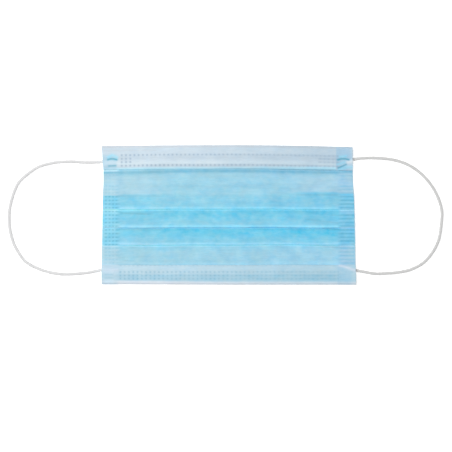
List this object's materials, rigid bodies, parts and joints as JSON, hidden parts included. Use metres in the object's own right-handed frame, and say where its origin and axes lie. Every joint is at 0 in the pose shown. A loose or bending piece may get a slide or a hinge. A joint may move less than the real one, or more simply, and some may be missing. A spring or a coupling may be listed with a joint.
{
  "type": "face mask",
  "caption": "Flat rectangular pleated cloth face mask, folded under itself in downward pleats, with pale bound top and bottom edges, a nose wire and round elastic ear loops.",
  "frame": {"origin": "middle of the cloth's outline, on the surface that the mask lies on, loops left out", "axes": "+X along the pleats to the picture's right, +Y towards the edge with the nose wire, +Z out of the blue outer face"},
  "size_m": [0.3009, 0.096, 0.0048],
  "materials": {
    "outer_cloth": "pale blue non-woven polypropylene, matte",
    "band_cloth": "thin white non-woven over the blue ply, matte, with ultrasonic weld dots",
    "wire_cover": "white plastic over a soft steel core",
    "elastic": "white round knitted elastic, matte"
  },
  "bodies": {
    "root": {"pleated_panel": "outer_cloth", "top_band": "band_cloth", "bottom_band": "band_cloth", "nose_wire": "wire_cover", "ear_loop_left": "elastic", "ear_loop_right": "elastic"}
  },
  "joints": []
}
